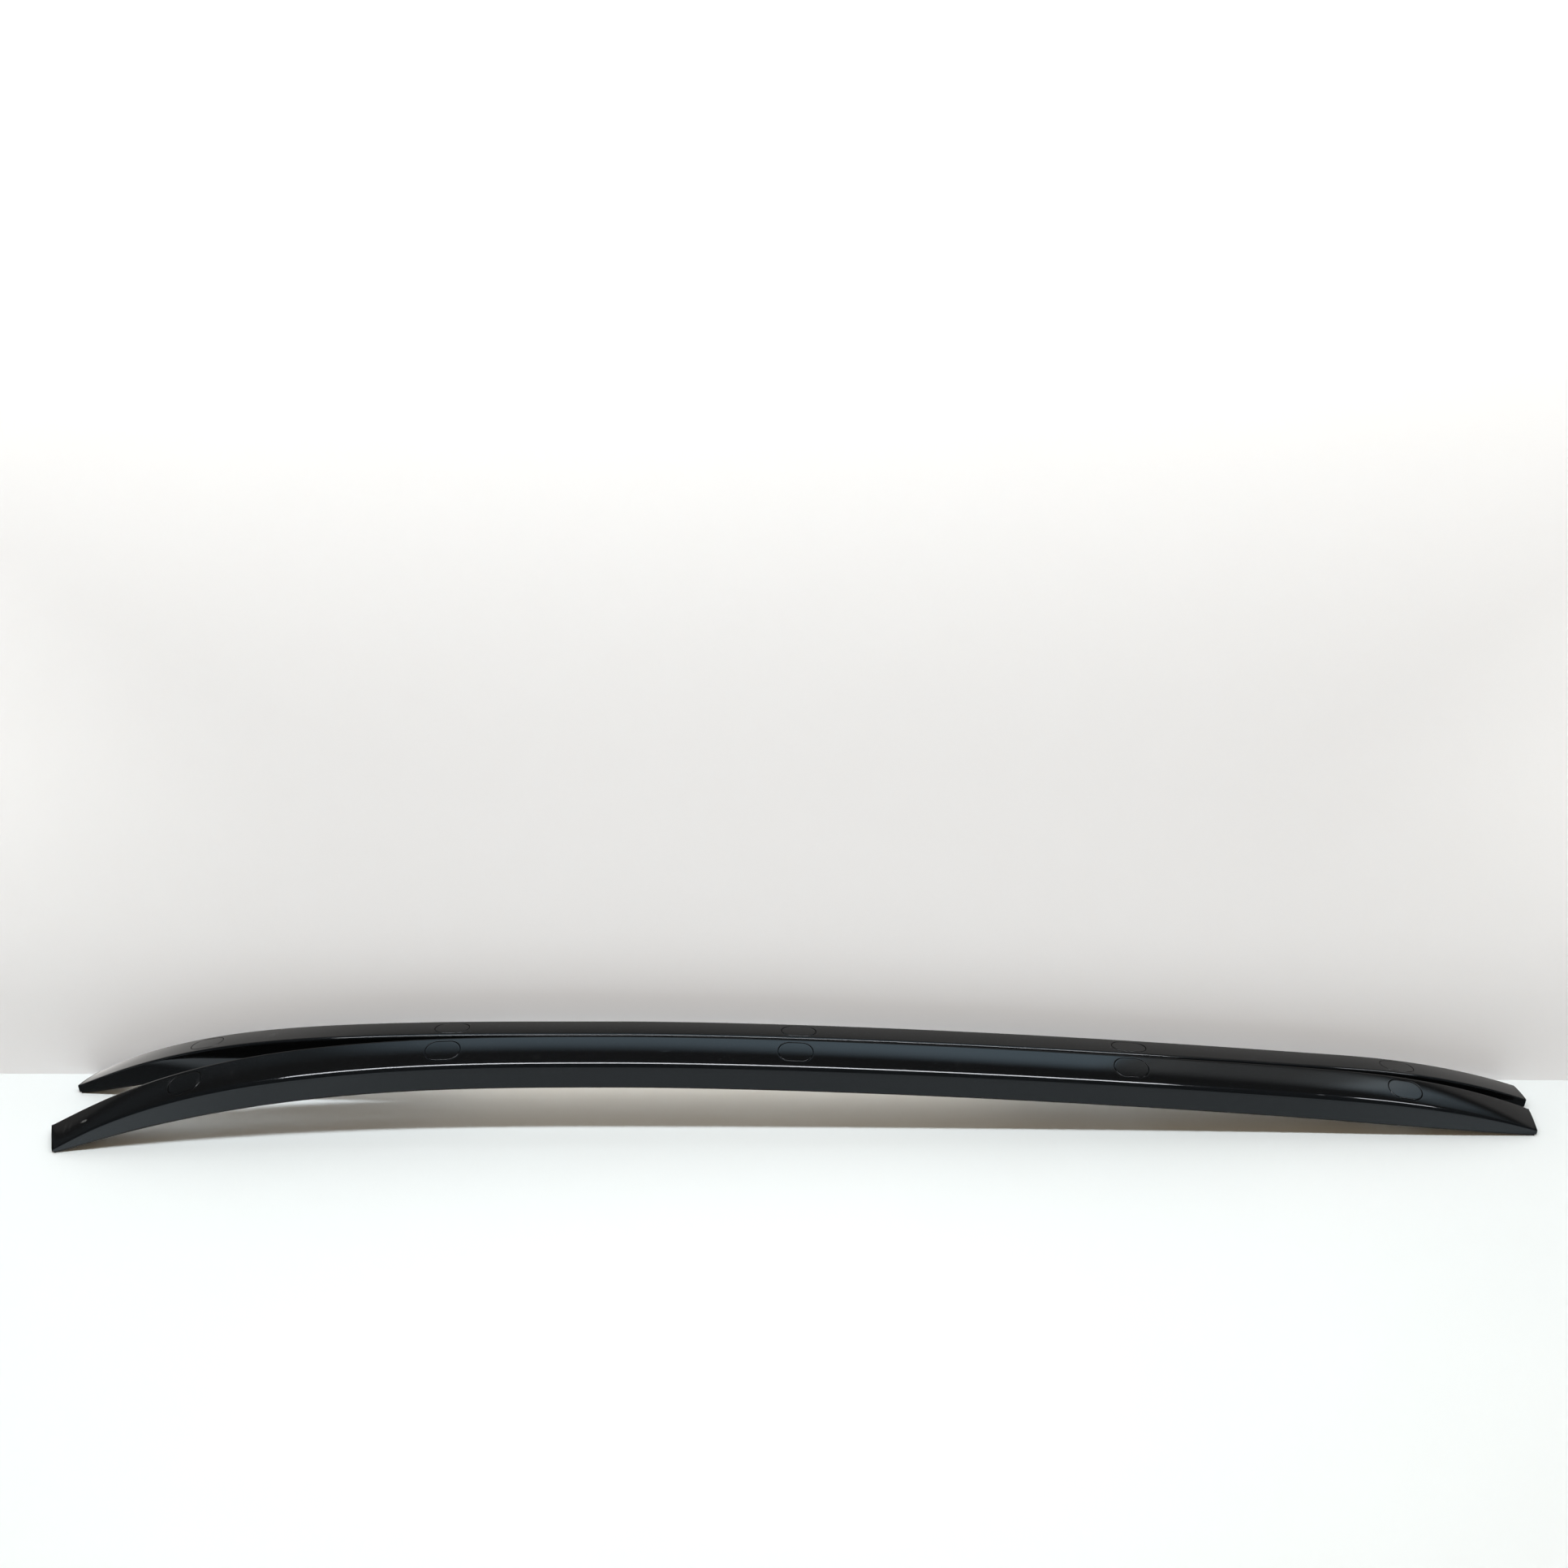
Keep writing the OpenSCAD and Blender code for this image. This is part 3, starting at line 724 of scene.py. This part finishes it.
def ramp(tree, value, low, high, out_low=0.0, out_high=1.0, kind="SMOOTHSTEP"):
    """A value brought from low and high to out_low and out_high."""
    node = tree.nodes.new("ShaderNodeMapRange")
    node.interpolation_type = kind
    node.inputs["From Min"].default_value = low
    node.inputs["From Max"].default_value = high
    node.inputs["To Min"].default_value = out_low
    node.inputs["To Max"].default_value = out_high
    tree.links.new(value, node.inputs["Value"])
    return node.outputs[0]


def math_node(tree, kind, a, b):
    node = tree.nodes.new("ShaderNodeMath")
    node.operation = kind
    for socket, value in zip(node.inputs, (a, b)):
        if isinstance(value, (int, float)):
            socket.default_value = value
        else:
            tree.links.new(value, socket)
    return node.outputs[0]


def times(tree, a, b):
    return math_node(tree, "MULTIPLY", a, b)


def greater(tree, a, b):
    return math_node(tree, "MAXIMUM", a, b)


def mix_colour(tree, factor, a, b):
    node = tree.nodes.new("ShaderNodeMix")
    node.data_type = "RGBA"
    tree.links.new(factor, node.inputs["Factor"])
    # sockets 6 and 7 are the colours A and B, and output 2 is the colour result
    for socket, colour in zip(node.inputs[6:8], (a, b)):
        socket.default_value = (*colour, 1)
    return node.outputs[2]


def bump(tree, shader, level, strength, distance):
    node = tree.nodes.new("ShaderNodeBump")
    node.inputs["Strength"].default_value = strength
    node.inputs["Distance"].default_value = distance
    tree.links.new(level, node.inputs["Height"])
    tree.links.new(node.outputs[0], shader.inputs["Normal"])


# Materials of the pieces

def marks(tree):
    """Scuffs and finger marks at their places on the rails."""
    coords = tree.nodes.new("ShaderNodeTexCoord")
    total = None
    for at, reach, strength in MARKS:
        mapping = tree.nodes.new("ShaderNodeMapping")
        mapping.inputs["Location"].default_value = [-a / r for a, r in zip(at, reach)]
        mapping.inputs["Scale"].default_value = [1 / r for r in reach]
        tree.links.new(coords.outputs["Object"], mapping.inputs["Vector"])
        length = tree.nodes.new("ShaderNodeVectorMath")
        length.operation = "LENGTH"
        tree.links.new(mapping.outputs[0], length.inputs[0])
        level = ramp(tree, length.outputs["Value"], 1.0, MARK_CORE, 0, strength)
        total = level if total is None else greater(tree, total, level)
    return total


def gloss_black(name, dusty):
    """Moulded gloss black plastic with fine dust, faint wipe marks, soft smudges and scuffs."""
    material, tree, shader = new_material(name)
    shader.inputs["IOR"].default_value = PLASTIC_IOR
    dust = ramp(tree, noise(tree, 0.0011, detail=4, rough=0.7), 0.60, 0.78)
    patches = ramp(tree, noise(tree, 0.06, stretch=(0.5, 1, 1)), 0.42, 0.68)
    specks = times(tree, times(tree, dust, patches), dusty)
    smudge = noise(tree, 0.022, detail=4, stretch=(0.7, 1.2, 1.2), rough=0.6)
    wipes = noise(tree, 0.0035, stretch=(0.12, 1, 1), rough=0.55)
    wiped = times(tree, ramp(tree, smudge, 0.5, 0.72), ramp(tree, wipes, 0.55, 0.75))
    broken = ramp(tree, noise(tree, 0.0016, rough=0.6), 0.35, 0.6, 0.35, 1)
    scuff = times(tree, marks(tree), broken)
    worn = greater(tree, greater(tree, wiped, specks), scuff)
    dull = greater(tree, specks, scuff)
    tree.links.new(mix_colour(tree, dull, PLASTIC, PLASTIC_DUST), shader.inputs["Base Color"])
    tree.links.new(ramp(tree, worn, 0, 1, 0.07, 0.26), shader.inputs["Roughness"])
    grain = math_node(tree, "ADD", noise(tree, 0.009, detail=1), times(tree, worn, 0.25))
    bump(tree, shader, grain, 0.03, 0.0002)
    return material


def groove_shaded_black(name):
    """Dull black of the rims and groove round a plug, darker and less glossy than the plastic as
    painted shade in the gap, with fine dust in it.
    """
    material, tree, shader = new_material(name)
    dust = ramp(tree, noise(tree, 0.0014, detail=4, rough=0.65), 0.45, 0.75)
    shader.inputs["IOR"].default_value = PLASTIC_IOR
    # painted shade in the gap round each plug: low specular and a blacker colour than the plastic
    shader.inputs["Specular IOR Level"].default_value = 0.2
    tree.links.new(mix_colour(tree, dust, GROOVE_SHADE, GROOVE_DUST), shader.inputs["Base Color"])
    tree.links.new(ramp(tree, dust, 0, 1, 0.30, 0.46), shader.inputs["Roughness"])
    bump(tree, shader, noise(tree, 0.0008, detail=2), 0.1, 0.0001)
    return material


def rubber(name):
    """Dull black rubber with dust in patches."""
    material, tree, shader = new_material(name)
    patches = ramp(tree, noise(tree, 0.012, detail=4, stretch=(0.3, 1, 1)), 0.35, 0.75)
    dust = times(tree, patches, ramp(tree, noise(tree, 0.0008), 0.55, 0.75))
    tree.links.new(mix_colour(tree, dust, SEAL, SEAL_DUST), shader.inputs["Base Color"])
    tree.links.new(ramp(tree, patches, 0, 1, 0.62, 0.82), shader.inputs["Roughness"])
    bump(tree, shader, noise(tree, 0.0006), 0.35, 0.0002)
    return material


def cast_aluminium(name):
    """Bare cast aluminium with a sandy skin."""
    material, tree, shader = new_material(name)
    shader.inputs["Metallic"].default_value = 1
    patches = noise(tree, 0.008, detail=4, rough=0.6)
    colour = mix_colour(tree, ramp(tree, patches, 0.3, 0.7), CAST_DARK, CAST_LIGHT)
    tree.links.new(colour, shader.inputs["Base Color"])
    tree.links.new(ramp(tree, patches, 0.3, 0.7, 0.36, 0.56), shader.inputs["Roughness"])
    bump(tree, shader, noise(tree, 0.0009, rough=0.65), 0.5, 0.0003)
    return material


def zinc(name):
    """Zinc-plated steel with a slight yellow cast in patches."""
    material, tree, shader = new_material(name)
    shader.inputs["Metallic"].default_value = 1
    patches = noise(tree, 0.004, detail=4, rough=0.6)
    colour = mix_colour(tree, ramp(tree, patches, 0.35, 0.65), ZINC_DARK, ZINC_LIGHT)
    tree.links.new(colour, shader.inputs["Base Color"])
    tree.links.new(ramp(tree, patches, 0.3, 0.7, 0.22, 0.4), shader.inputs["Roughness"])
    bump(tree, shader, noise(tree, 0.0007, detail=2), 0.15, 0.0001)
    return material


# Stage, lights and camera

def profile(tree, x, stops):
    """Level along x, from pairs of place and level."""
    node = tree.nodes.new("ShaderNodeValToRGB")
    node.color_ramp.interpolation = "EASE"
    elements = node.color_ramp.elements
    while len(elements) < len(stops):
        elements.new(0.5)
    for element, (at, level) in zip(elements, stops):
        element.position = (at + PROFILE_REACH) / (2 * PROFILE_REACH)
        element.color = (level, level, level, 1)
    share = ramp(tree, x, -PROFILE_REACH, PROFILE_REACH, kind="LINEAR")
    tree.links.new(share, node.inputs[0])
    return node.outputs[0]


def tinted(tree, level, colour):
    """Emission of one colour at a level."""
    node = tree.nodes.new("ShaderNodeEmission")
    node.inputs["Color"].default_value = (*colour, 1)
    tree.links.new(level, node.inputs["Strength"])
    return node.outputs[0]


def added(tree, a, b):
    node = tree.nodes.new("ShaderNodeAddShader")
    tree.links.new(a, node.inputs[0])
    tree.links.new(b, node.inputs[1])
    return node.outputs[0]


def mixed(tree, factor, a, b):
    node = tree.nodes.new("ShaderNodeMixShader")
    for value, socket in zip((factor, a, b), node.inputs):
        tree.links.new(value, socket)
    return node.outputs[0]


def place_axes(tree):
    """The x, y and z of a point on the stage."""
    coords = tree.nodes.new("ShaderNodeTexCoord")
    split = tree.nodes.new("ShaderNodeSeparateXYZ")
    tree.links.new(coords.outputs["Object"], split.inputs[0])
    return split.outputs["X"], split.outputs["Y"], split.outputs["Z"]


def one_sided(tree, front):
    """A shader seen through from behind."""
    clear = tree.nodes.new("ShaderNodeBsdfTransparent")
    geometry = tree.nodes.new("ShaderNodeNewGeometry")
    return mixed(tree, geometry.outputs["Backfacing"], front, clear.outputs[0])


def mirrored_wall(tree, x, z):
    """Painted reflection that gloss alone sees in the wall: dim close above the floor and again
    higher up, as the room is, with a bright band between them, cool up to the fourth plug and
    neutral past it."""
    band = times(tree, ramp(tree, z, 0.16, 0.22), ramp(tree, z, 0.42, 0.27))
    cool = tinted(tree, times(tree, band, profile(tree, x, COOL_PROFILE)), MIRROR_COOL)
    grey = tinted(tree, times(tree, band, profile(tree, x, NEUTRAL_PROFILE)), MIRROR_NEUTRAL)
    low = times(tree, profile(tree, x, LOW_PROFILE), ramp(tree, z, 0.17, 0.12))
    plain = tinted(tree, greater(tree, low, MIRROR_LEAST), MIRROR_LOW)
    return added(tree, added(tree, cool, grey), plain)


def wall_material():
    """Pale wall, lit and softly glowing, seen through from behind; its colour is painted darker low
    in the middle as painted shade and paler towards its top and ends as painted light.
    Its foot glows more, as if light fell between the rails and the wall, but not to the camera."""
    material, tree, surface = empty_material("stage_wall")
    x, _, z = place_axes(tree)
    side = math_node(tree, "ABSOLUTE", x, 0)
    ends = times(tree, ramp(tree, side, 0.5, 1.3), ramp(tree, z, 0.08, 0.5))
    bright = greater(tree, ramp(tree, z, 0.4, 1.15), ends)
    diffuse = tree.nodes.new("ShaderNodeBsdfDiffuse")
    # painted shade and light: the wall's colour darkens low in its middle and pales towards its top
    # and ends
    tree.links.new(mix_colour(tree, bright, WALL_SHADED, WALL_LIT), diffuse.inputs["Color"])
    soft = times(tree, ramp(tree, bright, 0, 1, 0.35, 0.43), ramp(tree, z, 0.05, 0.25, 0.78, 1))
    glow = tinted(tree, soft, WALL_GLOW)
    behind = times(tree, profile(tree, x, BEHIND_PROFILE), ramp(tree, z, 0.062, 0.048))
    low = times(tree, profile(tree, x, FOOT_PROFILE), ramp(tree, z, 0.03, 0.02, 0, 2))
    path = tree.nodes.new("ShaderNodeLightPath")
    unseen = ramp(tree, path.outputs["Is Camera Ray"], 0, 1, 1, 0)
    foot = tinted(tree, times(tree, greater(tree, behind, low), unseen), FOOT_GLOW)
    lit = added(tree, added(tree, diffuse.outputs[0], glow), foot)
    # gloss sees the painted reflection instead of the lit wall
    seen = mixed(tree, path.outputs["Is Glossy Ray"], lit, mirrored_wall(tree, x, z))
    tree.links.new(one_sided(tree, seen), surface)
    return material


def floor_material():
    """Pale floor, seen through from below. Gloss sees a painted reflection of it instead, cooler
    and dimmer, and darkened between the rails as painted shade."""
    material, tree, surface = empty_material("stage_floor")
    x, y, _ = place_axes(tree)
    diffuse = tree.nodes.new("ShaderNodeBsdfDiffuse")
    patches = ramp(tree, noise(tree, 0.9, detail=2), 0.3, 0.7)
    tree.links.new(mix_colour(tree, patches, FLOOR_GREY, FLOOR_PALE), diffuse.inputs["Color"])
    # painted reflection that gloss alone sees, darkened between the rails as painted shade
    near = times(tree, profile(tree, x, FLOOR_PROFILE), ramp(tree, y, -0.035, -0.055, 0.12, 1))
    mirrored = tinted(tree, near, MIRROR_FLOOR)
    path = tree.nodes.new("ShaderNodeLightPath")
    seen = mixed(tree, path.outputs["Is Glossy Ray"], diffuse.outputs[0], mirrored)
    tree.links.new(one_sided(tree, seen), surface)
    return material


def stage_plane(name, corners, material):
    mesh = bpy.data.meshes.new(name)
    mesh.from_pydata(corners, [], [tuple(range(len(corners)))])
    mesh.materials.append(material)
    piece = bpy.data.objects.new(name, mesh)
    bpy.context.scene.collection.objects.link(piece)


def build_stage():
    far = FLOOR_REACH
    corners = [(-far, -far, 0), (far, -far, 0), (far, far, 0), (-far, far, 0)]
    stage_plane("stage_floor", corners, floor_material())
    slope = (WALL_RIGHT - WALL_LEFT) / (2 * REACH_X)
    middle = (WALL_LEFT + WALL_RIGHT) / 2
    foot = [(x, middle + slope * x, 0) for x in (-WALL_REACH, WALL_REACH)]
    top = [(x, y, WALL_HEIGHT) for x, y, _ in reversed(foot)]
    stage_plane("stage_wall", foot + top, wall_material())


def area_lamp(name, x, size, power, colour):
    """Lamp over the front of the rails, turned towards their foot."""
    data = bpy.data.lights.new(name, "AREA")
    data.shape = "RECTANGLE"
    data.size, data.size_y = size
    data.energy = power
    data.color = colour
    lamp = bpy.data.objects.new(name, data)
    lamp.location = (x, LAMP_Y, LAMP_Z)
    lamp.rotation_mode = "QUATERNION"
    way = Vector((x, 0, AIM_Z)) - Vector((x, LAMP_Y, LAMP_Z))
    lamp.rotation_quaternion = way.to_track_quat("-Z", "Y")
    bpy.context.scene.collection.objects.link(lamp)
    return lamp


def build_room():
    """World: warm to surfaces, dim to gloss and pale to the camera."""
    world = bpy.data.worlds.new("room")
    bpy.context.scene.world = world
    world.use_nodes = True
    tree = world.node_tree
    warm = tree.nodes["Background"]
    warm.inputs["Strength"].default_value = ROOM_STRENGTH
    dim = tree.nodes.new("ShaderNodeBackground")
    pale = tree.nodes.new("ShaderNodeBackground")
    for node, colour in ((warm, ROOM_WARM), (dim, ROOM_MIRRORED), (pale, ROOM_SEEN)):
        node.inputs["Color"].default_value = (*colour, 1)
    path = tree.nodes.new("ShaderNodeLightPath")
    room = mixed(tree, path.outputs["Is Glossy Ray"], warm.outputs[0], dim.outputs[0])
    room = mixed(tree, path.outputs["Is Camera Ray"], room, pale.outputs[0])
    tree.links.new(room, tree.nodes["World Output"].inputs[0])


def build_lights():
    key = area_lamp("key", KEY_X, KEY_SIZE, KEY_POWER, KEY_COLOUR)
    key.visible_glossy = False
    for name, x, length, power in GLINTS:
        lamp = area_lamp(name, x, (length, GLINT_WIDTH), power, GLINT_COLOUR)
        lamp.visible_diffuse = False
    build_room()


def build_camera():
    data = bpy.data.cameras.new("camera")
    data.sensor_width = SENSOR_WIDTH
    data.lens = LENS
    data.clip_start, data.clip_end = CLIP_START, CLIP_END
    camera = bpy.data.objects.new("camera", data)
    camera.location = CAMERA_PLACE
    camera.rotation_euler = (math.radians(90 - CAMERA_DOWN), 0, 0)
    bpy.context.scene.collection.objects.link(camera)
    bpy.context.scene.camera = camera


# Making it all

def dress(name, material):
    """Gives a CAD node its material."""
    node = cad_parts[name]
    node.data.materials.clear()
    node.data.materials.append(material)


def soften(name):
    """Rounds the edges of a cast CAD node a little, once its split points are joined."""
    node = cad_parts[name]
    node.modifiers.new("joined", "WELD").merge_threshold = FOOT_WELD * MM
    bevel = node.modifiers.new("cast_edges", "BEVEL")
    bevel.width = FOOT_EDGE * MM
    bevel.segments = FOOT_EDGE_STEPS
    bevel.limit_method = "ANGLE"
    bevel.angle_limit = math.radians(FOOT_EDGE_ANGLE)


def main():
    bpy.context.scene.view_settings.view_transform = "Standard"
    build_camera()
    rail_look = gloss_black("rail_black", RAIL_DUSTY)
    plug_look = gloss_black("plug_black", PLUG_DUSTY)
    groove = groove_shaded_black("groove_shaded_black")
    seal = rubber("seal_rubber")
    cast = cast_aluminium("cast_aluminium")
    bolt = zinc("zinc_steel")
    rail = rail_shell()
    bolts = bolt_shell()
    for side in ("left", "right"):
        piece = rail.build(f"{side}_rail_skin", side)
        piece.data.materials.append(rail_look)
        piece.data.materials.append(groove)
        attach(piece, "root")
        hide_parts(f"{side}_rail")
        for i in range(1, len(FEET) + 1):
            plug = plug_shell(i - 1).build(f"{side}_plug_cap_{i}", side)
            plug.data.materials.append(plug_look)
            plug.data.materials.append(groove)
            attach(plug, "root")
            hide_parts(f"{side}_plug_{i}")
            dress(f"{side}_foot_{i}", cast)
            soften(f"{side}_foot_{i}")
            dress(f"{side}_washer_{i}", seal)
        dress(f"{side}_gasket", seal)
        threaded = bolts.build(f"{side}_bolt_set", side)
        threaded.data.materials.append(bolt)
        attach(threaded, "root")
        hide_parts(f"{side}_bolts")
    build_stage()
    build_lights()


main()
